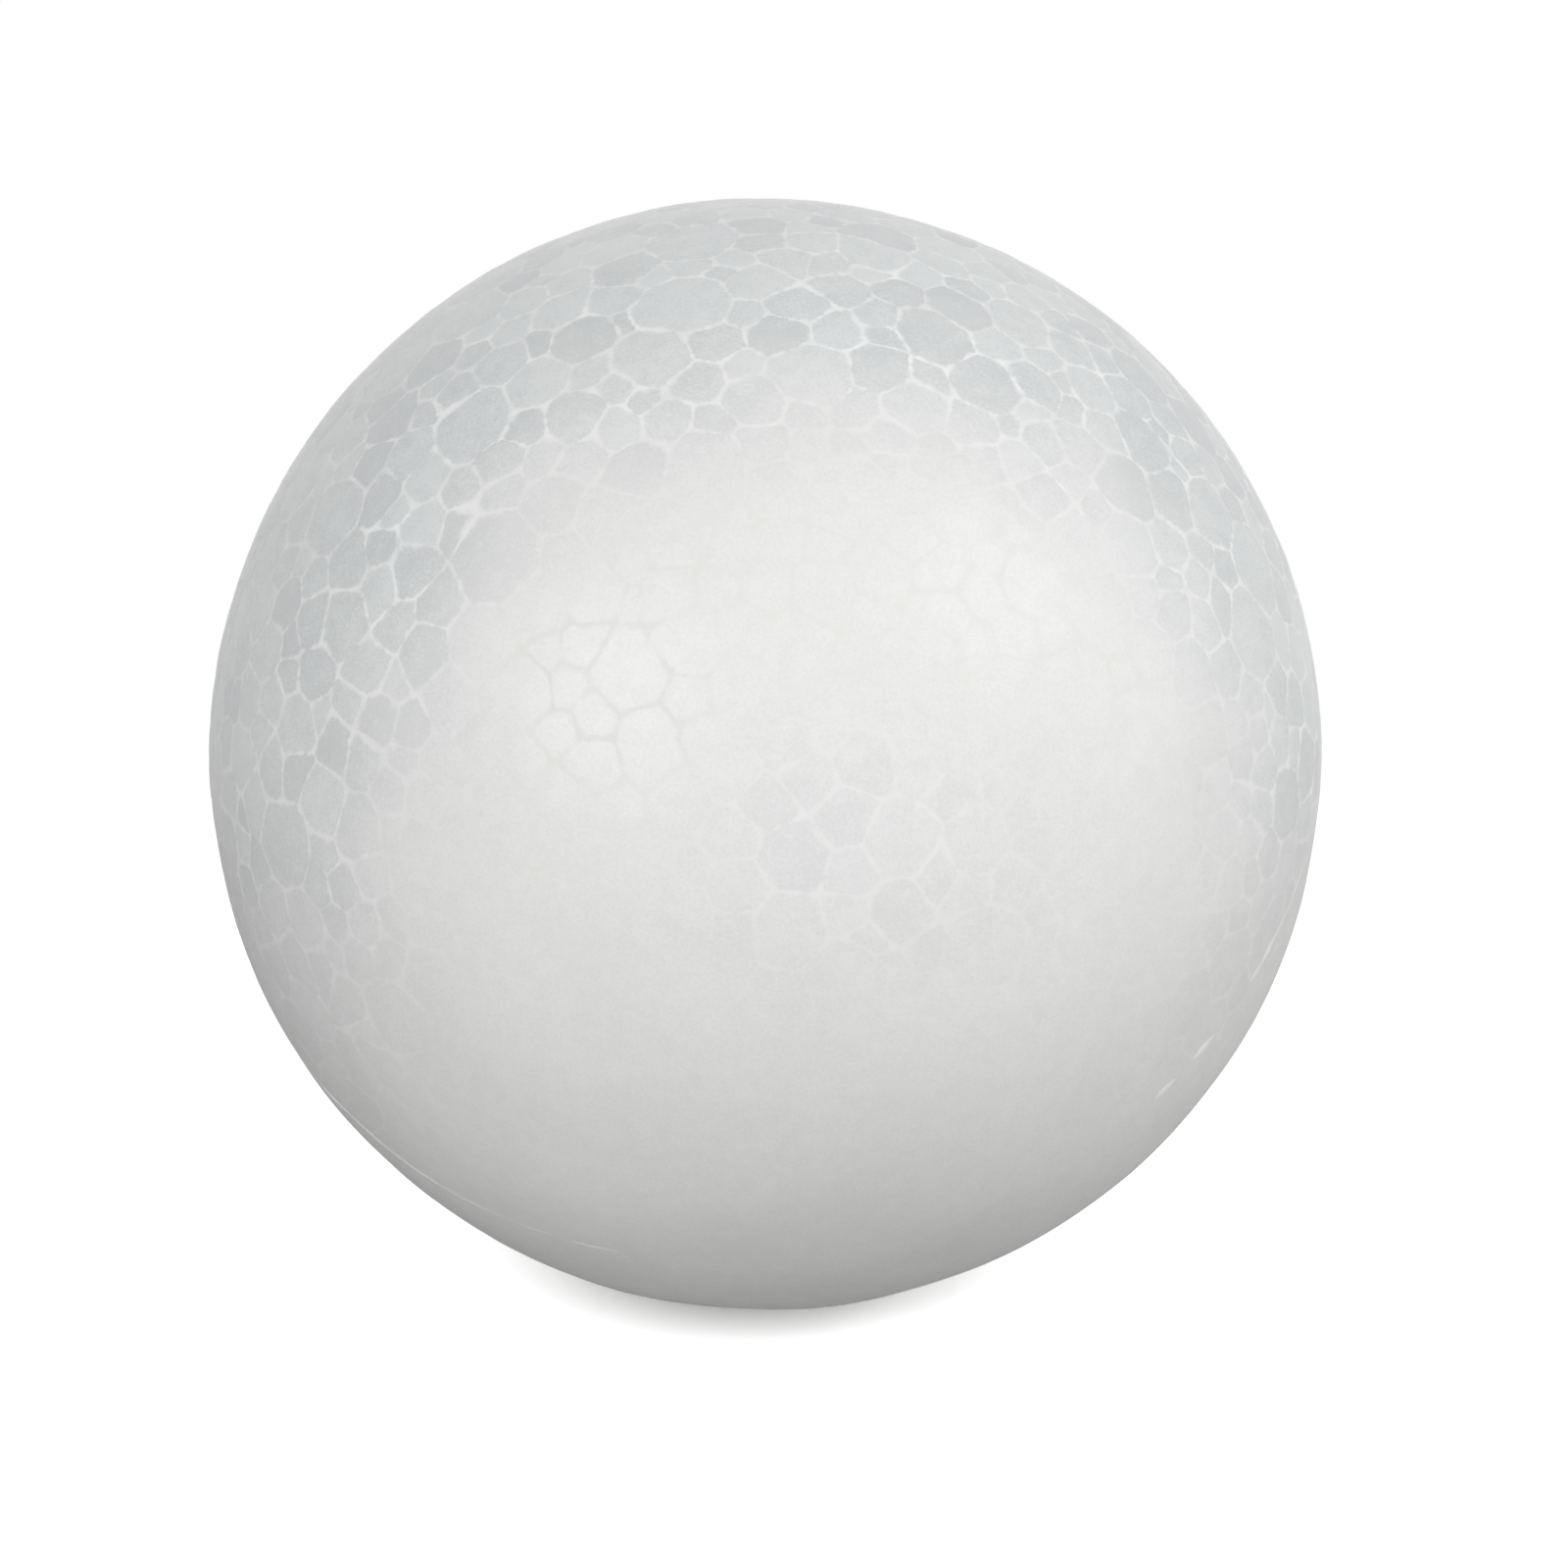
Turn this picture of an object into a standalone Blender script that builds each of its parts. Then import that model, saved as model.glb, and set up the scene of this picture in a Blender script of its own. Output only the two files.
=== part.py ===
"""A craft ball moulded from expanded polystyrene beads.

Metres, +Z up, with the origin at the ball's centre. The ball is one solid: beads of foam that steam has
swollen and fused in a two-part mould. Its skin is a mosaic of bead faces with shallow joints between them,
and a fine raised seam runs round it where the mould's halves met. The ball lies tilted, as it came to rest,
so the seam's plane is not level.
"""

import math

import bmesh
import bpy
import numpy as np
from mathutils import Vector

# The ball
BALL_DIAMETER = 0.080

# The beads that show on its skin
BEAD_PITCH = 0.00368  # mean distance between the middles of neighbouring beads
BEAD_SIZE_SPREAD = 0.24  # standard deviation of the logarithm of a bead's size
BEAD_SCATTER = 0.35  # how far a bead starts from an even spiral, as a share of the pitch
BEAD_SEED = 11
PACKING_ROUNDS = 24
PUSH_SHARE = 0.25  # how much of an overlap one round takes from each of the two beads
FOLD_ROUNDS = 12  # the most passes that turning the hull's folded edges may take
JOINT_DEPTH = 0.00011  # how far the joints lie below the beads' middles

# The patch near the top where the ball has been pressed a little flat
DENT_RADIUS = 0.014
DENT_DEPTH = 0.00028
DENT_DIRECTION = (0.26, 0.30, 0.92)

# The mould's seam, a low fin with sloping sides round the ball's widest circle
SEAM_ROOT_WIDTH = 0.00060
SEAM_CREST_WIDTH = 0.00022
SEAM_HEIGHT = 0.00014
SEAM_ROOT_DEPTH = 0.00040  # how far the fin reaches into the ball, so that the two fuse
SEAM_STEPS = 72
SEAM_POLE_ELEVATION = math.radians(48)  # of the line that the mould's halves part along
SEAM_POLE_AZIMUTH = math.radians(12)  # from -Y towards -X

WHITE_FOAM = (0.86, 0.87, 0.86, 1.0)
FOAM_ROUGHNESS = 0.45

BALL_RADIUS = BALL_DIAMETER / 2


def clear_scene():
    for obj in list(bpy.data.objects):
        bpy.data.objects.remove(obj)


def unit(rows):
    """Each row of an array of vectors at length 1."""
    return rows / np.linalg.norm(rows, axis=1, keepdims=True)


def bead_count():
    """As many beads as cover the ball if each has the area of a hexagon that is BEAD_PITCH across its flats."""
    hexagon = math.sqrt(3) / 2 * BEAD_PITCH**2
    return round(4 * math.pi * BALL_RADIUS**2 / hexagon)


def packed_beads():
    """The directions of the beads' middles, and their radii as angles seen from the ball's centre.

    The beads start near an even spiral, and each round pushes apart those that overlap.
    """
    rng = np.random.default_rng(BEAD_SEED)
    count = bead_count()
    step = np.arange(count) + 0.5
    height = 1 - 2 * step / count
    turn = math.pi * (1 + math.sqrt(5)) * step
    across = np.sqrt(1 - height**2)
    middles = np.column_stack([across * np.cos(turn), across * np.sin(turn), height])
    middles += rng.normal(0, BEAD_SCATTER * BEAD_PITCH / BALL_RADIUS, middles.shape)
    middles = unit(middles)

    sizes = rng.lognormal(0, BEAD_SIZE_SPREAD, count)
    radii = sizes * math.sqrt(4 / (sizes**2).sum())  # so that the beads together have the ball's whole area
    touching = radii[:, None] + radii[None, :]
    for _ in range(PACKING_ROUNDS):
        apart = np.sqrt(np.maximum(2 - 2 * middles @ middles.T, 0))
        np.fill_diagonal(apart, math.inf)
        push = PUSH_SHARE * np.maximum(touching - apart, 0) / apart
        middles = unit(middles + push.sum(1)[:, None] * middles - push @ middles)
    return middles, radii


def skin_radius(direction):
    """The distance from the centre to the skin: the ball's radius, less the dent's smooth hollow."""
    off_dent = direction.angle(Vector(DENT_DIRECTION)) * BALL_RADIUS
    share = max(0.0, 1 - (off_dent / DENT_RADIUS) ** 2)
    return BALL_RADIUS - DENT_DEPTH * share**2


def make_convex(hull):
    """Turn the few edges that lie in a fold, because the hull's corners were rounded while it was made."""
    for _ in range(FOLD_ROUNDS):
        hull.normal_update()
        folds = [edge for edge in hull.edges if not edge.is_convex]
        if not folds:
            break
        bmesh.ops.rotate_edges(hull, edges=folds)


def bead_mosaic():
    """The closed mesh of the bead faces.

    The hull of the beads' middles, each lifted in step with its bead's size, joins every bead to its
    neighbours. A corner where three beads meet lies over the middle of one hull face. Turning each hull
    edge to join the two corners beside it leaves the joints in its place, with each bead a low cone.
    """
    middles, radii = packed_beads()
    mesh = bmesh.new()
    for lifted in middles / np.cos(radii)[:, None]:
        mesh.verts.new(lifted)
    hull = bmesh.ops.convex_hull(mesh, input=mesh.verts)
    buried = set(hull["geom_interior"]) | set(hull["geom_unused"])
    bmesh.ops.delete(mesh, geom=[v for v in buried if isinstance(v, bmesh.types.BMVert)], context="VERTS")
    make_convex(mesh)
    bead_tops = list(mesh.verts)
    neighbour_edges = list(mesh.edges)

    corners = bmesh.ops.poke(mesh, faces=mesh.faces)["verts"]
    mesh.normal_update()
    outward = {corner: corner.normal.copy() for corner in corners}
    bmesh.ops.rotate_edges(mesh, edges=neighbour_edges)
    for corner, direction in outward.items():
        corner.co = direction * (skin_radius(direction) - JOINT_DEPTH)

    for top in bead_tops:
        rim = [edge.other_vert(top).co.normalized() for edge in top.link_edges]
        direction = sum(rim, Vector()).normalized()
        top.co = direction * skin_radius(direction)
    bmesh.ops.recalc_face_normals(mesh, faces=mesh.faces)
    return mesh


def foam_material():
    material = bpy.data.materials.new("white_foam")
    material.use_nodes = True
    shader = material.node_tree.nodes["Principled BSDF"]
    shader.inputs["Base Color"].default_value = WHITE_FOAM
    shader.inputs["Roughness"].default_value = FOAM_ROUGHNESS
    shader.inputs["Metallic"].default_value = 0.0
    return material


def new_object(name, bm, collection):
    mesh = bpy.data.meshes.new(name)
    bm.to_mesh(mesh)
    bm.free()
    obj = bpy.data.objects.new(name, mesh)
    collection.objects.link(obj)
    return obj


def seam_ring(collection):
    """The seam's fin as a ring, turned round the line that the mould's halves part along."""
    crest = BALL_RADIUS + SEAM_HEIGHT
    root = BALL_RADIUS - SEAM_ROOT_DEPTH
    section = [
        (root, SEAM_ROOT_WIDTH / 2),
        (crest, SEAM_CREST_WIDTH / 2),
        (crest, -SEAM_CREST_WIDTH / 2),
        (root, -SEAM_ROOT_WIDTH / 2),
    ]
    bm = bmesh.new()
    points = [bm.verts.new((out, 0, up)) for out, up in section]
    for start, end in zip(points, points[1:] + points[:1]):
        bm.edges.new((start, end))
    ring = new_object("seam_ring", bm, collection)

    turned = ring.modifiers.new("turned", "SCREW")
    turned.axis = "Z"
    turned.angle = math.tau
    turned.steps = turned.render_steps = SEAM_STEPS
    turned.use_merge_vertices = True
    turned.merge_threshold = 1e-5

    level = math.cos(SEAM_POLE_ELEVATION)
    pole = Vector((
        -level * math.sin(SEAM_POLE_AZIMUTH),
        -level * math.cos(SEAM_POLE_AZIMUTH),
        math.sin(SEAM_POLE_ELEVATION),
    ))
    ring.rotation_mode = "QUATERNION"
    ring.rotation_quaternion = pole.to_track_quat("Z", "Y")
    ring.hide_render = True
    ring.display_type = "WIRE"
    return ring


def build_ball():
    parts = bpy.data.collections.new("polystyrene_ball")
    helpers = bpy.data.collections.new("helpers")
    for collection in (parts, helpers):
        bpy.context.scene.collection.children.link(collection)

    ball = new_object("ball", bead_mosaic(), parts)
    ball.data.materials.append(foam_material())
    fused = ball.modifiers.new("fused_seam", "BOOLEAN")
    fused.operation = "UNION"
    fused.solver = "EXACT"
    fused.object = seam_ring(helpers)


clear_scene()
build_ball()
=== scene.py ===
"""The look of a craft ball moulded from expanded polystyrene beads.

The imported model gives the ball's place and size, and everything here is in its frame: metres, +Z up, with
the origin at the ball's centre. The file follows the ball from its skin of fused beads to the mould's seam,
and ends with the white floor, the lamps and the camera.
"""

import math

import bmesh
import bpy
import numpy as np
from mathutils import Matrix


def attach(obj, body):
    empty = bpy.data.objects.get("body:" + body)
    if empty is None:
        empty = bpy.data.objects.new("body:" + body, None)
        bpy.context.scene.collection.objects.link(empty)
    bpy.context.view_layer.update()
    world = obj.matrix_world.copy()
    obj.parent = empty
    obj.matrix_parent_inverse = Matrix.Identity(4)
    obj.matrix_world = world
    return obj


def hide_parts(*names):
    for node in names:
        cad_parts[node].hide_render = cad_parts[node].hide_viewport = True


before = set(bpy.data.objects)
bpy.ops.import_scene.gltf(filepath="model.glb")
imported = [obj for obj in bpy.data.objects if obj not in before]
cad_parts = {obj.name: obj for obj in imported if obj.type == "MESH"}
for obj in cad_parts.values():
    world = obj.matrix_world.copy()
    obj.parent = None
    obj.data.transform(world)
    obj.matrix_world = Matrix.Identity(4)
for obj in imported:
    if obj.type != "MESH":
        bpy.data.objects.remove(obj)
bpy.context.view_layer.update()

# The skin of fused beads
# The ball is expanded polystyrene: beads of foam that steam swelled in a mould until they pressed flat on
# its wall and fused. Each bead's face is a smooth closed skin, and the joints between them are rough and
# whiter.

MM = 0.001
BALL_RADIUS = 40.0 * MM
BEAD_PITCH = 3.68 * MM  # mean distance between the middles of neighbouring beads
BEAD_SIZE_SPREAD = 0.24  # standard deviation of the logarithm of a bead's size
BEAD_SCATTER = 0.35  # how far a bead starts from an even spiral, as a share of the pitch
BEAD_SEED = 11
PACKING_ROUNDS = 24
PUSH_SHARE = 0.25  # how much of an overlap one round takes from each of the two beads
FOLD_ROUNDS = 12  # the most passes that turning the hull's folded edges may take

DENT_RADIUS = 14.0 * MM
DENT_DEPTH = 0.28 * MM
DENT_DIRECTION = (0.26, 0.30, 0.92)

ALONG_JOINT = (0.0, 0.25, 0.75, 1.0)  # where a stretch of joint has points, as shares of its length
SHOULDER = 0.22 * MM  # distance from the joint to the first points inside it
MIDWAY = 0.55  # where the next points lie, as a share of the way from the joint to the bead's middle
GROOVE_DEPTH = 0.05 * MM  # how far a joint lies below the bead faces beside it
GROOVE_REACH = 0.30 * MM  # distance from the joint at which the groove has all but run out
CORNER_ROUNDING = 0.17 * MM  # how softly two joints flow together at a bead's corner
BEAD_STAND = 0.012 * MM  # how far a bead's face lies below the highest ones, on average
BEND_LENGTH = 5.0 * MM  # wavelength of the bends in the joints
BEND_SIZE = 0.16 * MM
SWELL_LENGTH = 11.0 * MM  # wavelength of the slow unevenness of the skin's height
SWELL_SIZE = 0.035 * MM
WAVE_COUNT = 40  # how many plane waves a ripple is made of
WAVE_SPREAD = (0.7, 1.4)  # each wave's length is the ripple's own over a number between these
GAPS = [  # places in mm where the beads left a small gap
    (-19.3, -25.0, 24.5), (-21.2, -16.6, 29.6), (-28.5, -20.5, 20.8), (-7.9, 5.6, 38.5),
    (-26.0, -28.6, 9.3), (14.0, 20.5, 31.3), (31.2, 9.0, 23.0), (-12.6, 30.4, -21.8), (22.0, 32.0, 9.0),
]
GAP_OPENING = 0.45 * MM  # how much wider a joint is at a gap that its beads left open
GAP_REACH = 1.1 * MM
# Painted light: the beads' contrast is painted out towards the foot and round a place on the front, where
# reflections of the floor and the lamps hide it.
PAINTED_FADE_FOOT = -16.0 * MM  # height, from the ball's middle, up to which the beads' contrast is painted out
CLEAR_HEIGHT = 15.0 * MM  # height from which that painted fade no longer blurs them
PAINTED_FADE_PLACE = (4.5 * MM, -39.4 * MM, 5.0 * MM)  # a place on the front round which their contrast is painted out too
PAINTED_FADE_REACH = 22.0 * MM
CLEAR_REACH = 41.0 * MM
PATCHES = [  # places where the beads show all the same through the painted fade: middle and reach in mm, and how clearly
    ((3.4, -39.2, 6.8), 8.5, 0.32), ((16.0, -36.5, 4.0), 8.0, 0.15), ((-20.0, -31.0, 12.0), 5.0, 0.2),
    ((-32.0, -20.5, -12.5), 10.0, 0.3), ((31.0, -22.0, -12.0), 7.0, 0.15),
]
PATCHINESS = 0.10  # how strongly a slow ripple makes the beads' clearness uneven
RIPPLED_FROM = 0.25  # clearness from which that ripple has its whole strength
PAINTED_FADE_RELIEF = 0.2  # share of the relief that is left where the beads' contrast is painted out
MERGE_DISTANCE = 0.001 * MM


def unit(rows):
    """Each vector along the last axis divided by its length."""
    return rows / np.linalg.norm(rows, axis=-1, keepdims=True)


def packed_beads():
    """The directions of the beads' middles, and their radii as angles seen from the ball's centre.

    The beads start near an even spiral, and each round pushes apart those that overlap.
    """
    rng = np.random.default_rng(BEAD_SEED)
    hexagon = math.sqrt(3) / 2 * BEAD_PITCH**2
    count = round(4 * math.pi * BALL_RADIUS**2 / hexagon)
    step = np.arange(count) + 0.5
    height = 1 - 2 * step / count
    turn = math.pi * (1 + math.sqrt(5)) * step
    across = np.sqrt(1 - height**2)
    middles = np.column_stack([across * np.cos(turn), across * np.sin(turn), height])
    middles += rng.normal(0, BEAD_SCATTER * BEAD_PITCH / BALL_RADIUS, middles.shape)
    middles = unit(middles)

    sizes = rng.lognormal(0, BEAD_SIZE_SPREAD, count)
    radii = sizes * math.sqrt(4 / (sizes**2).sum())  # so that the beads together have the ball's whole area
    touching = radii[:, None] + radii[None, :]
    for _ in range(PACKING_ROUNDS):
        apart = np.sqrt(np.maximum(2 - 2 * middles @ middles.T, 0))
        np.fill_diagonal(apart, math.inf)
        push = PUSH_SHARE * np.maximum(touching - apart, 0) / apart
        middles = unit(middles + push.sum(1)[:, None] * middles - push @ middles)
    return middles, radii


def bead_hull(lifted):
    """The triangles that join each bead to its neighbours, as rows of three bead numbers.

    They are the convex hull of the beads' lifted middles. A few edges come out in a fold, because the
    hull's corners are rounded while it is made, and they are turned.
    """
    hull = bmesh.new()
    for point in lifted:
        hull.verts.new(point)
    bmesh.ops.convex_hull(hull, input=hull.verts)
    for _ in range(FOLD_ROUNDS):
        hull.normal_update()
        folds = [edge for edge in hull.edges if not edge.is_convex]
        if not folds:
            break
        bmesh.ops.rotate_edges(hull, edges=folds)
    hull.verts.index_update()
    triangles = np.array([[vert.index for vert in face.verts] for face in hull.faces])
    hull.free()
    return triangles


def joints_round_beads():
    """Each stretch of joint twice over, once for the bead on either side: the bead, and the stretch's ends.

    Lifting each middle by one over the cosine of its bead's radius gives larger beads more room. A triangle
    of the hull stands for the corner where its three beads meet, which lies in the direction of its
    normal. Two triangles that share an edge give the two ends of the joint between that edge's beads.
    """
    middles, radii = packed_beads()
    lifted = middles / np.cos(radii)[:, None]
    triangles = bead_hull(lifted)
    a, b, c = lifted[triangles.T]
    corners = unit(np.cross(b - a, c - a))
    corners *= np.sign((corners * a).sum(1))[:, None]

    bead = triangles.ravel()
    neighbour = np.roll(triangles, -1, axis=1).ravel()
    here = np.repeat(np.arange(len(triangles)), 3)
    beyond = np.empty_like(here)
    beyond[np.lexsort((neighbour, bead))] = here[np.lexsort((bead, neighbour))]
    return bead, corners[beyond], corners[here]


def skin_height(directions):
    """The skin's distance from the centre: the ball's radius, less the depth of the dent.

    Across the dent the depth is its greatest depth times the square of one less q, where q is the square of
    the distance from its middle over its radius.
    """
    off = np.arccos(np.clip(directions @ unit(np.array(DENT_DIRECTION)), -1, 1)) * BALL_RADIUS
    share = np.clip(1 - (off / DENT_RADIUS) ** 2, 0, None)
    return BALL_RADIUS - DENT_DEPTH * share**2


def ripple(points, wavelength, seed):
    """A smooth random number for each point, about as often above nought as below it, and about 1 in size.

    It adds up cosines of plane waves. Each has its own direction and start, and a length near the
    wavelength.
    """
    rng = np.random.default_rng(seed)
    waves = unit(rng.normal(size=(WAVE_COUNT, 3))) * rng.uniform(*WAVE_SPREAD, (WAVE_COUNT, 1))
    start = rng.uniform(0, math.tau, WAVE_COUNT)
    angle = points @ (waves.T * math.tau / wavelength)
    return np.cos(angle + start).sum(axis=-1) * math.sqrt(2 / WAVE_COUNT)


def smooth_step(value, start, end):
    """Nought up to the start and one from the end, along three times the square less twice the cube."""
    share = np.clip((value - start) / (end - start), 0, 1)
    return share**2 * (3 - 2 * share)


def clearness(points):
    """How clearly the beads show there, and how far the place is above the foot.

    The first is a painted fade: the beads' contrast gives way towards the foot and the front, where
    reflections of the floor and the lamps hide it. It is the product of two smooth steps, one of the height
    and one of the distance from a place on the front. It has a slow ripple, and bell curves are added for
    the patches. The second is the step of the height.
    """
    above_foot = smooth_step(points[..., 2], PAINTED_FADE_FOOT, CLEAR_HEIGHT)
    off_front = np.linalg.norm(points - np.array(PAINTED_FADE_PLACE), axis=-1)
    clear = smooth_step(off_front, PAINTED_FADE_REACH, CLEAR_REACH)
    rippled = np.minimum(clear / RIPPLED_FROM, 1)
    clear += PATCHINESS * rippled * ripple(points, SWELL_LENGTH, BEAD_SEED + 3)
    clear *= above_foot
    for middle, reach, height in PATCHES:
        off = np.linalg.norm(points - np.array(middle) * MM, axis=-1)
        clear += height * np.exp(-((off / (reach * MM)) ** 2))
    return np.clip(clear, 0, 1), above_foot


def distance_to_joints(points, bead, start, end):
    """How far each wedge's points are from the joints round their bead, with the corners rounded.

    Each stretch of joint lies in a plane through the ball's centre. The distances to the planes round the
    bead flow together as the logarithm of the sum of their falling exponentials.
    """
    sides = np.bincount(bead)
    column = np.arange(sides.max())
    in_order = np.argsort(bead, kind="stable")
    first = np.cumsum(sides) - sides
    row = in_order[np.minimum(first[:, None] + column, len(bead) - 1)]
    walls = unit(np.cross(start, end))[row]
    spare = (column >= sides[:, None])[bead][:, None, None]
    off = np.abs(np.einsum("wijx,wkx->wijk", points, walls[bead])) * BALL_RADIUS
    nearness = np.where(spare, 0, np.exp(-off / CORNER_ROUNDING))
    return -CORNER_ROUNDING * np.log(nearness.sum(axis=3))


def bead_wedges():
    """Each wedge's bead, and the directions of the wedge's points with their distances to the joints.

    A wedge is the part of a bead's face between its middle and one stretch of joint. Its parameters are the
    share of the way along the joint, and the share of the way from there to the bead's middle. Near a gap
    the joints are wider by a bell curve.
    """
    bead, start, end = joints_round_beads()
    centres = np.zeros((bead.max() + 1, 3))
    np.add.at(centres, bead, (start + end) * np.linalg.norm(end - start, axis=1)[:, None])
    centres = unit(centres)

    along = np.array(ALONG_JOINT)[None, :, None]
    joint = unit((1 - along) * start[:, None] + along * end[:, None])
    to_centre = centres[bead][:, None] - joint
    length = np.linalg.norm(to_centre, axis=2, keepdims=True) * BALL_RADIUS
    shoulder = np.minimum(SHOULDER / length, MIDWAY / 2)
    shares = [np.zeros_like(length), shoulder, np.full_like(length, MIDWAY), np.ones_like(length)]
    points = unit(np.stack([joint + share * to_centre for share in shares], axis=2))
    opening = np.zeros(points.shape[:3])
    for gap in GAPS:
        off = np.linalg.norm(points * BALL_RADIUS - np.array(gap) * MM, axis=-1)
        opening += GAP_OPENING * np.exp(-((off / GAP_REACH) ** 2))
    return bead, points, distance_to_joints(points, bead, start, end) - opening


def bead_skin():
    """The closed mesh of all bead faces, with what its material needs to know of each point and bead.

    Ripples shift all points sideways, which bends the joints. A point's height is the skin's with a slow
    swell, less the groove along the joints, which fades as a bell curve, and a little for its own bead,
    which stands low. Both are shallow where the beads' contrast is painted out.
    """
    bead, directions, distance = bead_wedges()
    places = directions * BALL_RADIUS
    bend = np.stack([ripple(places, BEND_LENGTH, BEAD_SEED + axis) for axis in range(3)], axis=-1)
    swell = SWELL_SIZE * ripple(places, SWELL_LENGTH, BEAD_SEED)
    directions = unit(places + BEND_SIZE * bend)
    rng = np.random.default_rng(BEAD_SEED)
    chance = rng.random(bead.max() + 1)
    stand = BEAD_STAND * rng.uniform(-2, 0, bead.max() + 1)
    groove = np.exp(-((np.maximum(distance, 0) / GROOVE_REACH) ** 2))
    clear, above_foot = clearness(places)
    relief = PAINTED_FADE_RELIEF + (1 - PAINTED_FADE_RELIEF) * clear
    sunk = relief * (GROOVE_DEPTH * groove - stand[bead][:, None, None] * (1 - groove))
    points = directions * (skin_height(directions) + swell - sunk)[..., None]

    number = np.arange(distance.size).reshape(distance.shape)
    side = number[:, :-1]
    next_side = number[:, 1:]
    quads = np.stack([side[..., :-1], next_side[..., :-1], next_side[..., 1:], side[..., 1:]], axis=-1)
    mesh = bpy.data.meshes.new("bead_skin")
    mesh.from_pydata(points.reshape(-1, 3), [], quads.reshape(-1, 4))
    for name, values in {"off_joint_mm": distance / MM, "clear": clear, "above_foot": above_foot}.items():
        mesh.attributes.new(name, "FLOAT", "POINT").data.foreach_set("value", values.ravel())
    bead_chance = mesh.attributes.new("bead_chance", "FLOAT", "FACE")
    faces_in_wedge = quads.shape[1] * quads.shape[2]
    bead_chance.data.foreach_set("value", np.repeat(chance[bead], faces_in_wedge))

    shell = bmesh.new()
    shell.from_mesh(mesh)
    bmesh.ops.remove_doubles(shell, verts=shell.verts, dist=MERGE_DISTANCE)
    bmesh.ops.recalc_face_normals(shell, faces=shell.faces)
    shell.to_mesh(mesh)
    shell.free()
    mesh.shade_smooth()
    return mesh


def linear(hex_colour):
    """An sRGB hex colour as linear red, green, blue and full alpha."""
    shares = [int(hex_colour[i : i + 2], 16) / 255 for i in (1, 3, 5)]
    return [s / 12.92 if s <= 0.04045 else ((s + 0.055) / 1.055) ** 2.4 for s in shares] + [1.0]


def add(tree, kind, sockets=(), **properties):
    """A new node with its properties set, and each socket given a value or a link from another's output."""
    node = tree.nodes.new(kind)
    for name, value in properties.items():
        setattr(node, name, value)
    for key, value in dict(sockets).items():
        if isinstance(value, bpy.types.NodeSocket):
            tree.links.new(value, node.inputs[key])
        else:
            node.inputs[key].default_value = value
    return node


FACE_LIGHT = "#E1E4E4"
FACE_DARK = "#D0D3D4"
JOINT_WHITE = "#FAFBFB"
# Where the beads' contrast is painted out, faces and joints take an even white with a random mottle.
PAINTED_OUT_LIGHT = "#EEEEEC"
PAINTED_OUT_DARK = "#E8E8E6"
# painted shade in the joints' grooves, where the beads' contrast is painted out
JOINT_PAINTED_SHADE = "#EAE9E6"
THIN_JOINT_MM = 0.044  # half the width of a joint where it is thinnest and widest
WIDE_JOINT_MM = 0.2
JOINT_CORE = -0.4  # where a joint's white begins to fade, and where it ends, in half widths from its middle
JOINT_RIM = 1.8
FAINT_JOINT = 0.4  # share of its white that the faintest joint keeps
COARSE_RAG_MM = 0.07  # how far the joints' edges wander
FINE_RAG_MM = 0.11
KNOT_CORE_MM = -0.24  # distances beyond the joint lines at which a corner's knot is white and where it ends
KNOT_RIM_MM = -0.05
WIDTH_PATCH = 2.6 * MM  # size of the patches in which the joints are thin or wide, and faint or white
FAINT_PATCH = 3.0 * MM
COARSE_RAG_SIZE = 1.4 * MM  # length of the bends in the joints' edges
FINE_RAG_SIZE = 0.6 * MM
SPECKLE = 0.8  # how far fine speckles and soft clouds change a face's shade
CLOUD = 0.28
SPECKLE_SIZE = 0.2 * MM  # the foam's air cells are about 0.1 mm, and are drawn coarser so that they show
CLOUD_SIZE = 1.4 * MM
FOAM_IOR = 1.5
SATIN_ROUGHNESS = 0.36
TORN_ROUGHNESS = 0.85
SATIN_SHINE = 0.52  # how strongly the faces and the joints mirror
TORN_SHINE = 0.1
GRAIN_SIZE = 0.3 * MM
GRAIN_DEPTH = 0.015 * MM

# Expanded polystyrene, steam moulded. Each bead face is a satin skin that shows a little grey from the air
# cells behind it, and the joints' torn cells read as soft white lines. Towards the foot and on the front
# the beads' contrast is painted out, where reflections of the floor and the lamps hide it: there the faces
# are as white as the joints, which carry a faint painted shade of their grooves.
foam = bpy.data.materials.new("expanded_polystyrene_moulded")
foam.use_nodes = True
tree = foam.node_tree
shader = tree.nodes["Principled BSDF"]
shader.inputs["IOR"].default_value = FOAM_IOR
place = add(tree, "ShaderNodeTexCoord").outputs["Object"]
off_joint = add(tree, "ShaderNodeAttribute", attribute_name="off_joint_mm").outputs["Fac"]
chance = add(tree, "ShaderNodeAttribute", attribute_name="bead_chance").outputs["Fac"]
clear = add(tree, "ShaderNodeAttribute", attribute_name="clear").outputs["Fac"]
above_foot = add(tree, "ShaderNodeAttribute", attribute_name="above_foot").outputs["Fac"]


def noise(size, detail):
    """Cloudy noise over the ball whose patches are about that large, in the material being made."""
    cloudy = add(tree, "ShaderNodeTexNoise", {"Vector": place, "Scale": 1 / size, "Detail": detail})
    return cloudy.outputs["Fac"]


def spread(value, low, high, start=0.3, end=0.7, **properties):
    """The value moved from the range start to end, by default a noise's own, to the range low to high."""
    return add(tree, "ShaderNodeMapRange", {
        "Value": value, "From Min": start, "From Max": end, "To Min": low, "To Max": high,
    }, **properties).outputs["Result"]


def maths(operation, a, b):
    """The sum, product or other result of two values."""
    return add(tree, "ShaderNodeMath", {0: a, 1: b}, operation=operation).outputs[0]


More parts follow.
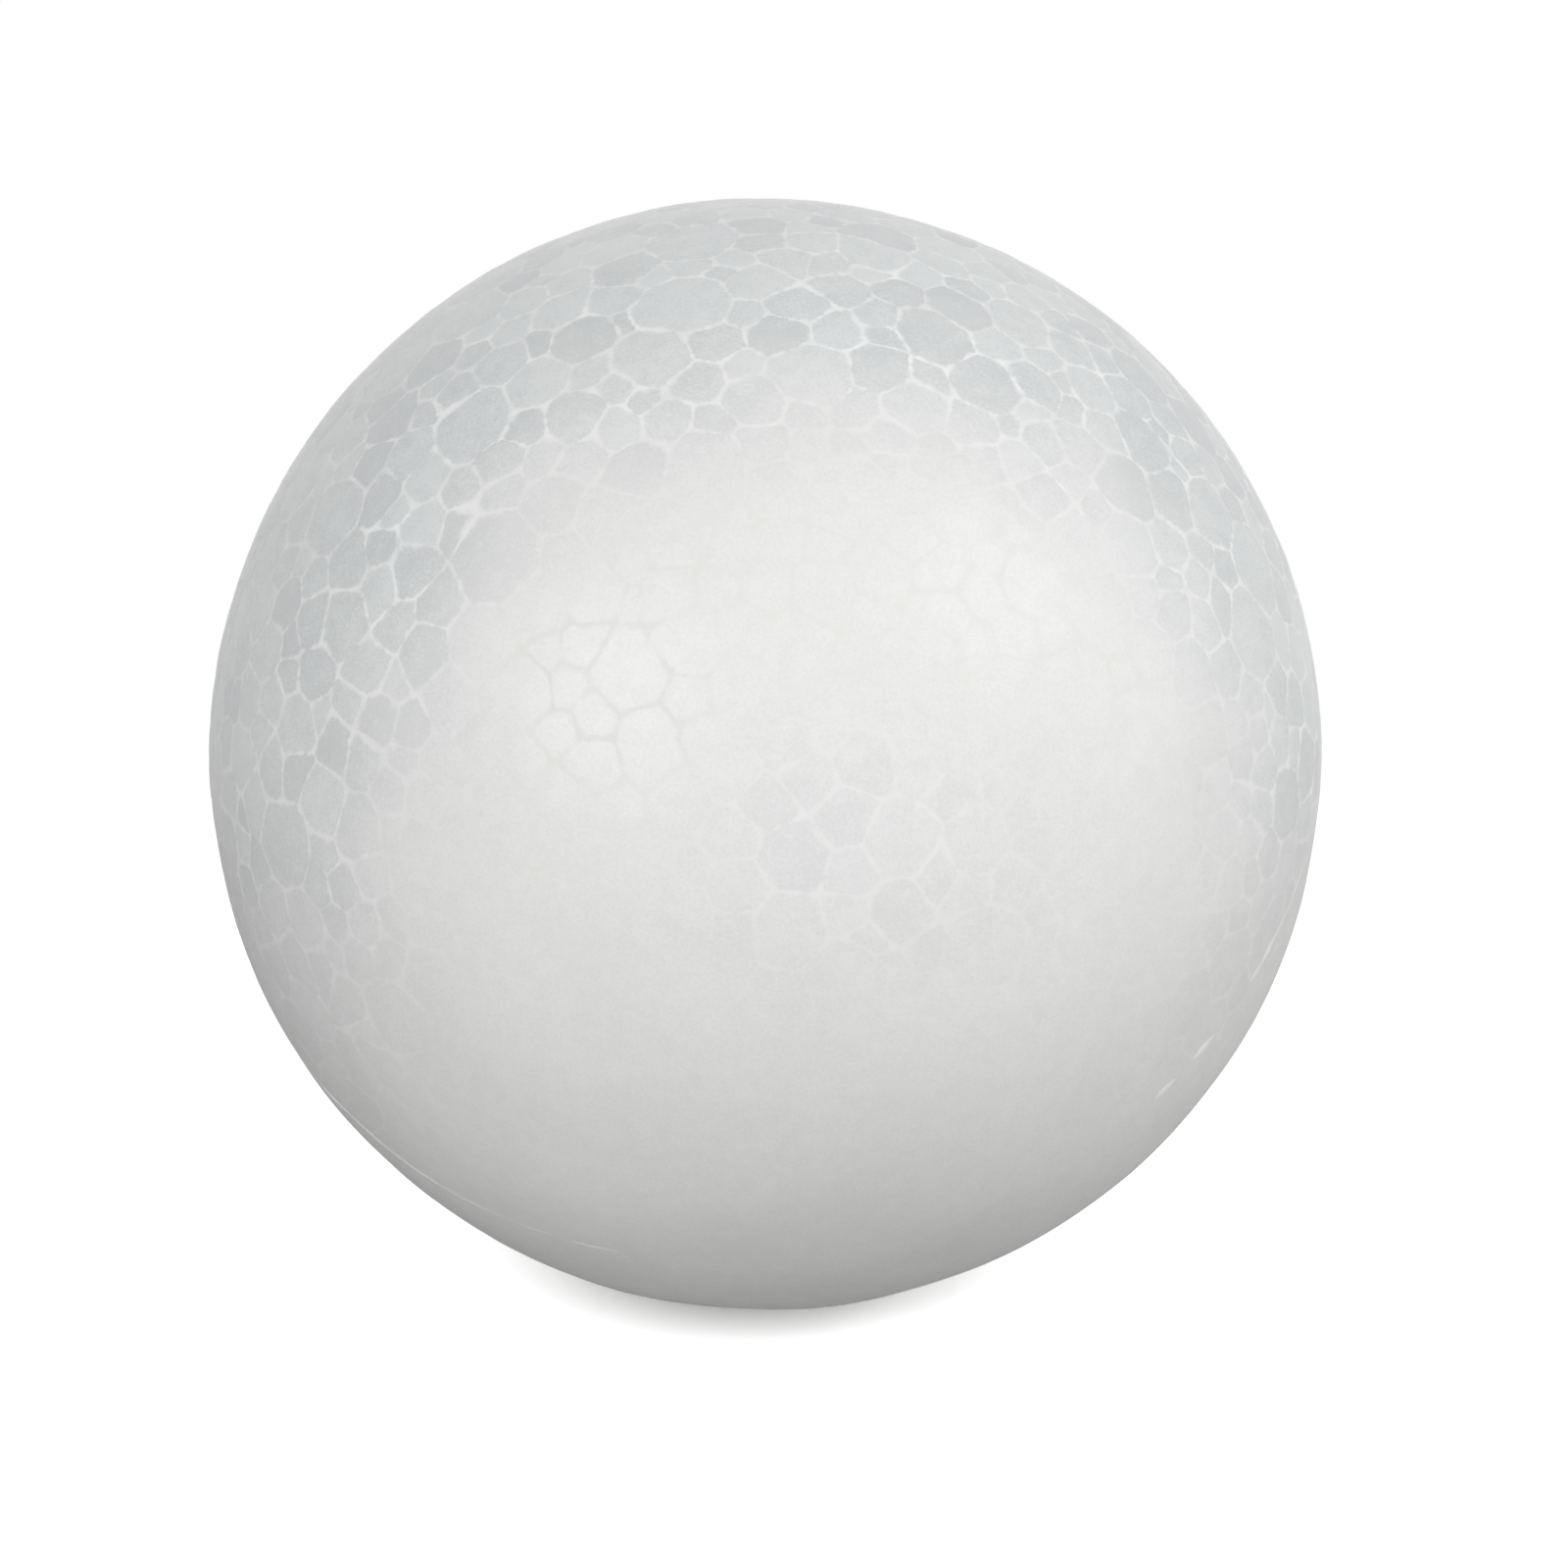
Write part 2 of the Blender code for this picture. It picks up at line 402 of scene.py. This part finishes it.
width = spread(noise(WIDTH_PATCH, 2.0), THIN_JOINT_MM, WIDE_JOINT_MM)
fine_rag = spread(noise(FINE_RAG_SIZE, 2.0), -FINE_RAG_MM, FINE_RAG_MM)
coarse_rag = spread(noise(COARSE_RAG_SIZE, 1.0), -COARSE_RAG_MM, COARSE_RAG_MM)
edge = maths("ADD", off_joint, maths("ADD", fine_rag, coarse_rag))
core = maths("MULTIPLY", width, JOINT_CORE)
rim = maths("MULTIPLY", width, JOINT_RIM)
line = spread(edge, 1.0, 0.0, core, rim, interpolation_type="SMOOTHSTEP")
line = maths("MULTIPLY", line, spread(noise(FAINT_PATCH, 2.0), FAINT_JOINT, 1.0))
knot = spread(edge, 1.0, 0.0, KNOT_CORE_MM, KNOT_RIM_MM, interpolation_type="SMOOTHSTEP")
joint = maths("MAXIMUM", line, knot)

speckle = spread(noise(SPECKLE_SIZE, 1.0), -SPECKLE, SPECKLE, 0.1, 0.9)
cloud = spread(noise(CLOUD_SIZE, 4.0), -CLOUD, CLOUD)
mottle = maths("ADD", speckle, cloud)
face = add(tree, "ShaderNodeMix", {
    0: maths("ADD", chance, mottle), 6: linear(FACE_LIGHT), 7: linear(FACE_DARK),
}, data_type="RGBA")
grey = add(tree, "ShaderNodeMix", {
    0: joint, 6: face.outputs[2], 7: linear(JOINT_WHITE),
}, data_type="RGBA")
painted_out = add(tree, "ShaderNodeMix", {
    0: maths("ADD", 0.5, mottle), 6: linear(PAINTED_OUT_LIGHT), 7: linear(PAINTED_OUT_DARK),
}, data_type="RGBA")
# The joints above the foot are rough, and take a painted shade of their grooves where the pattern is
# painted out.
rough_and_painted_shade = maths("MULTIPLY", joint, above_foot)
painted_out_shaded = add(tree, "ShaderNodeMix", {
    0: rough_and_painted_shade, 6: painted_out.outputs[2], 7: linear(JOINT_PAINTED_SHADE),
}, data_type="RGBA")
# The painted fade: where clear is low, the bead pattern gives way to the even white.
colour = add(tree, "ShaderNodeMix", {
    0: clear, 6: painted_out_shaded.outputs[2], 7: grey.outputs[2],
}, data_type="RGBA")
tree.links.new(colour.outputs[2], shader.inputs["Base Color"])
dull = maths("MAXIMUM", rough_and_painted_shade, maths("SUBTRACT", 1.0, above_foot))
roughness = spread(dull, SATIN_ROUGHNESS, TORN_ROUGHNESS, 0.0, 1.0)
tree.links.new(roughness, shader.inputs["Roughness"])
tree.links.new(spread(dull, SATIN_SHINE, TORN_SHINE, 0.0, 1.0), shader.inputs["Specular IOR Level"])
grain = add(tree, "ShaderNodeBump", {
    "Height": noise(GRAIN_SIZE, 2.0), "Strength": 1.0, "Distance": GRAIN_DEPTH,
})
tree.links.new(grain.outputs["Normal"], shader.inputs["Normal"])

skin = bpy.data.objects.new("bead_skin", bead_skin())
bpy.context.scene.collection.objects.link(skin)
skin.data.materials.append(foam)
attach(skin, "root")
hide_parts("ball")

# The mould's seam
# Where the mould's two halves met, a little foam was pressed out into a fine raised line. It runs right
# round the ball on its widest circle, uneven in height and width, and is part of the same moulding.

SEAM_HALF_WIDTH = 0.22 * MM
SEAM_HEIGHT = 0.02 * MM
SEAM_EDGE_DEPTH = 0.035 * MM  # how far the fin's thin edges lie under the skin
SEAM_ROOT = 0.25 * MM  # how far its foot lies under the skin
SEAM_STEPS = 900  # points round the ball and round the oval
SEAM_SIDES = 12
SEAM_WAVES = 60  # how many waves of unevenness run round it
RISE_UNEVENNESS = 0.6  # how strong they are in its height and its width
WIDTH_UNEVENNESS = 0.3
LEAST_WIDTH = 0.4  # share of its width that it keeps where it is narrowest
SEAM_RISE = [  # degrees round it, and shares of its height
    (0, 1.0), (38, 1.8), (62, 1.3), (74, 0.5), (84, -0.8), (98, -5.0), (138, -3.0), (165, 0.4), (200, 0.8),
    (300, 0.3), (360, 1.0),
]
SEAM_LUMPS = [(142.5, 5.0), (148.5, 6.5), (158.0, 2.0), (161, 3.5), (266, 3.0)]  # degrees, shares
LUMP_REACH = 1.3  # degrees
LUMP_WIDTH = 1.6  # how much wider a lump is than the seam, as a share of its width
SEAM_SEED = 5
SEAM_POLE_ELEVATION = math.radians(48)  # of the line that the mould's halves part along
SEAM_POLE_AZIMUTH = math.radians(12)  # from -Y towards -X


def uneven(turn, waves, seed):
    """A ripple round a circle: cosines of one to so many waves a turn, each with its own size and start."""
    rng = np.random.default_rng(seed)
    size = rng.normal(0, 1, waves) / math.sqrt(waves / 2)
    start = rng.uniform(0, math.tau, waves)
    return (size * np.cos(np.arange(1, waves + 1) * turn[:, None] + start)).sum(axis=1)


def seam_fin():
    """The seam's fin: an oval carried round the ball's widest circle.

    Its two parameters are the turn round the ball and the turn round the oval. The oval's upper half is a
    low arch, the square of the sine, between edges that lie just under the skin. Its top stands above the
    skin by the fin's height: a slow rise and fall round the ball, with ripples and a few lumps that are
    bell curves, and below nought where the seam closed cleanly.
    """
    level = math.cos(SEAM_POLE_ELEVATION)
    pole = np.array([
        -level * math.sin(SEAM_POLE_AZIMUTH),
        -level * math.cos(SEAM_POLE_AZIMUTH),
        math.sin(SEAM_POLE_ELEVATION),
    ])
    side = unit(np.cross(pole, (0, 0, 1)))
    turn = np.linspace(0, math.tau, SEAM_STEPS, endpoint=False)
    outward = np.cos(turn)[:, None] * side + np.sin(turn)[:, None] * np.cross(pole, side)
    degrees = np.degrees(turn)
    rise = np.interp(degrees, *zip(*SEAM_RISE)) + RISE_UNEVENNESS * uneven(turn, SEAM_WAVES, SEAM_SEED + 1)
    breadth = np.clip(1 + WIDTH_UNEVENNESS * uneven(turn, SEAM_WAVES, SEAM_SEED), LEAST_WIDTH, None)
    for middle, size in SEAM_LUMPS:
        lump = np.exp(-(((degrees - middle) / LUMP_REACH) ** 2))
        rise += size * lump
        breadth += LUMP_WIDTH * lump
    height = SEAM_HEIGHT * rise
    half_width = SEAM_HALF_WIDTH * breadth

    oval = np.linspace(0, math.tau, SEAM_SIDES, endpoint=False)
    across = half_width[:, None] * np.cos(oval)
    arch = (height[:, None] + SEAM_EDGE_DEPTH) * np.sin(oval) ** 2
    foot = (SEAM_ROOT - SEAM_EDGE_DEPTH) * np.sin(oval)
    lift = np.where(np.sin(oval) > 0, arch, foot) - SEAM_EDGE_DEPTH
    swell = SWELL_SIZE * ripple(outward * BALL_RADIUS, SWELL_LENGTH, BEAD_SEED)
    base = skin_height(outward) + swell
    points = (base[:, None] + lift)[..., None] * outward[:, None] + across[..., None] * pole

    number = np.arange(SEAM_STEPS * SEAM_SIDES).reshape(SEAM_STEPS, SEAM_SIDES)
    onward = np.roll(number, -1, axis=0)
    quads = np.stack([number, onward, np.roll(onward, -1, axis=1), np.roll(number, -1, axis=1)], axis=-1)
    mesh = bpy.data.meshes.new("mould_seam")
    mesh.from_pydata(points.reshape(-1, 3), [], quads.reshape(-1, 4))
    fin = bmesh.new()
    fin.from_mesh(mesh)
    bmesh.ops.recalc_face_normals(fin, faces=fin.faces)
    fin.to_mesh(mesh)
    fin.free()
    mesh.shade_smooth()
    return mesh


# The seam's white is partly its own and partly a painted highlight of its raised line.
SEAM_WHITE_AND_HIGHLIGHT = "#FCFCFA"
SEAM_SHADE = "#EFEEE9"
SEAM_ROUGHNESS = 0.7
SEAM_SHINE = 0.3
DUST_SIZE = 2.0 * MM

# Expanded polystyrene pressed out at a mould's parting line. The fin's crushed cells are dull and almost
# white, a little whiter than the skin as a painted highlight of its raised line, with a faint warm grey
# where dust has settled along it.
crushed = bpy.data.materials.new("expanded_polystyrene_flash")
crushed.use_nodes = True
tree = crushed.node_tree
shader = tree.nodes["Principled BSDF"]
shader.inputs["Roughness"].default_value = SEAM_ROUGHNESS
shader.inputs["Specular IOR Level"].default_value = SEAM_SHINE
place = add(tree, "ShaderNodeTexCoord").outputs["Object"]
colour = add(tree, "ShaderNodeMix", {
    0: noise(DUST_SIZE, 3.0), 6: linear(SEAM_WHITE_AND_HIGHLIGHT), 7: linear(SEAM_SHADE),
}, data_type="RGBA")
tree.links.new(colour.outputs[2], shader.inputs["Base Color"])

seam = bpy.data.objects.new("mould_seam", seam_fin())
bpy.context.scene.collection.objects.link(seam)
seam.data.materials.append(crushed)
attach(seam, "root")

# The floor
# A wide white sheet that the ball lies on. It is not part of the ball. It is plain white to the eye and in
# reflections, except that near the ball the eye sees its true shading, which keeps the ball's soft shadow.

FLOOR_HALF = 4.0
FLOOR_WHITE = "#FFFFFF"
FLOOR_BOUNCE = "#A9A9A9"  # what it sends back to the ball
FLOOR_SHADING = 2.6  # what it sends to the eye near the ball, at which all but the shadow is white
SHADOW_REACH = 0.075  # distance from the ball's middle from which the floor is plain white to the eye
WHITE_REACH = 0.13  # distance at which it is so wholly


def in_reflections(tree):
    """One for a glossy or transmission ray, and nought for the rest."""
    path = add(tree, "ShaderNodeLightPath")
    return add(tree, "ShaderNodeMath", {
        0: path.outputs["Is Glossy Ray"], 1: path.outputs["Is Transmission Ray"],
    }, operation="MAXIMUM").outputs[0]


sheet = bpy.data.materials.new("paper_white_matt")
sheet.use_nodes = True
tree = sheet.node_tree
tree.nodes.clear()
bounce = add(tree, "ShaderNodeBsdfDiffuse", {"Color": linear(FLOOR_BOUNCE)})
plain = add(tree, "ShaderNodeEmission", {"Color": linear(FLOOR_WHITE), "Strength": 1.0})
matt = add(tree, "ShaderNodeBsdfDiffuse", {"Color": (FLOOR_SHADING, FLOOR_SHADING, FLOOR_SHADING, 1.0)})
place = add(tree, "ShaderNodeTexCoord").outputs["Object"]
off_ball = add(tree, "ShaderNodeVectorMath", {0: place}, operation="LENGTH").outputs["Value"]
far = spread(off_ball, 0.0, 1.0, SHADOW_REACH, WHITE_REACH)
shown = add(tree, "ShaderNodeMixShader", {0: far, 1: matt.outputs[0], 2: plain.outputs[0]})
mirrored = add(tree, "ShaderNodeMixShader", {
    0: in_reflections(tree), 1: bounce.outputs[0], 2: plain.outputs[0],
})
is_camera = add(tree, "ShaderNodeLightPath").outputs["Is Camera Ray"]
either = add(tree, "ShaderNodeMixShader", {0: is_camera, 1: mirrored.outputs[0], 2: shown.outputs[0]})
add(tree, "ShaderNodeOutputMaterial", {"Surface": either.outputs[0]})

mesh = bpy.data.meshes.new("floor")
corners = np.array([(-1, -1, 0), (1, -1, 0), (1, 1, 0), (-1, 1, 0)]) * FLOOR_HALF - (0, 0, BALL_RADIUS)
mesh.from_pydata(corners, [], [(0, 1, 2, 3)])
floor = bpy.data.objects.new("floor", mesh)
bpy.context.scene.collection.objects.link(floor)
floor.data.materials.append(sheet)

# The lamps
# Two softboxes stand before the ball, one to the left and one high on the right. Wide fills and a weak even
# room light the rest, and leave no highlight. Only the eye and reflections see the room as white.

LAMP_DISTANCE = 0.9
SOFTBOXES = {  # direction from the ball, width in metres, watts
    "softbox_left": ((-0.534, -0.715, 0.453), 0.58, 2.4),
    "softbox_right": ((0.650, -0.364, 0.665), 0.48, 1.25),
}
FILLS = {  # likewise, but not seen in reflections
    "fill_front": ((0.0, -1.0, 0.45), 0.84, 4.45),
    "fill_right": ((1.0, 0.0, 0.2), 0.50, 2.75),
    "fill_back": ((-0.2, 1.0, 0.1), 0.84, 4.0),
    "fill_top": ((0.1, 0.6, 0.8), 0.84, 1.6),
}
ROOM_STRENGTH = 0.09


def hang_lamp(name, direction, width, power):
    """A square lamp that faces the ball from that direction and is never in the picture itself."""
    light = bpy.data.lights.new(name, "AREA")
    light.size = width
    light.energy = power
    lamp = bpy.data.objects.new(name, light)
    lamp.location = unit(np.array(direction)) * LAMP_DISTANCE
    lamp.rotation_mode = "QUATERNION"
    lamp.rotation_quaternion = lamp.location.to_track_quat("Z", "Y")
    lamp.visible_camera = False
    bpy.context.scene.collection.objects.link(lamp)
    return lamp


for name, (direction, width, power) in SOFTBOXES.items():
    hang_lamp(name, direction, width, power)
for name, (direction, width, power) in FILLS.items():
    fill = hang_lamp(name, direction, width, power)
    fill.visible_glossy = False

world = bpy.data.worlds.new("room")
world.use_nodes = True
tree = world.node_tree
tree.nodes.clear()
dim = add(tree, "ShaderNodeBackground", {"Color": (1.0, 1.0, 1.0, 1.0), "Strength": ROOM_STRENGTH})
white = add(tree, "ShaderNodeBackground", {"Color": (1.0, 1.0, 1.0, 1.0), "Strength": 1.0})
is_camera = add(tree, "ShaderNodeLightPath").outputs["Is Camera Ray"]
seen = add(tree, "ShaderNodeMath", {0: is_camera, 1: in_reflections(tree)}, operation="MAXIMUM")
either = add(tree, "ShaderNodeMixShader", {0: seen.outputs[0], 1: dim.outputs[0], 2: white.outputs[0]})
add(tree, "ShaderNodeOutputWorld", {"Surface": either.outputs[0]})
bpy.context.scene.world = world

# The camera
# It looks a little down on the ball through a long lens. The ball's outline in the photograph fixes its
# distance, and a small shift puts the ball's centre where the photograph has it.

PHOTO_SIDE_PX = 1600
BALL_CENTRE_PX = (781.2, 769.1)
BALL_RADIUS_PX = 567.4
CAMERA_ELEVATION = math.radians(18)
LENS_MM = 100.0
SENSOR_MM = 36.0

focal_px = PHOTO_SIDE_PX * LENS_MM / SENSOR_MM
distance = BALL_RADIUS / math.sin(math.atan(BALL_RADIUS_PX / focal_px))
camera = bpy.data.objects.new("camera", bpy.data.cameras.new("camera"))
camera.data.lens = LENS_MM
camera.data.sensor_width = SENSOR_MM
camera.data.shift_x = (PHOTO_SIDE_PX / 2 - BALL_CENTRE_PX[0]) / PHOTO_SIDE_PX
camera.data.shift_y = (BALL_CENTRE_PX[1] - PHOTO_SIDE_PX / 2) / PHOTO_SIDE_PX
camera.data.clip_start = 0.01
camera.location = (0, -distance * math.cos(CAMERA_ELEVATION), distance * math.sin(CAMERA_ELEVATION))
camera.rotation_euler = (math.pi / 2 - CAMERA_ELEVATION, 0, 0)
bpy.context.scene.collection.objects.link(camera)
bpy.context.scene.camera = camera
bpy.context.scene.view_settings.view_transform = "Standard"
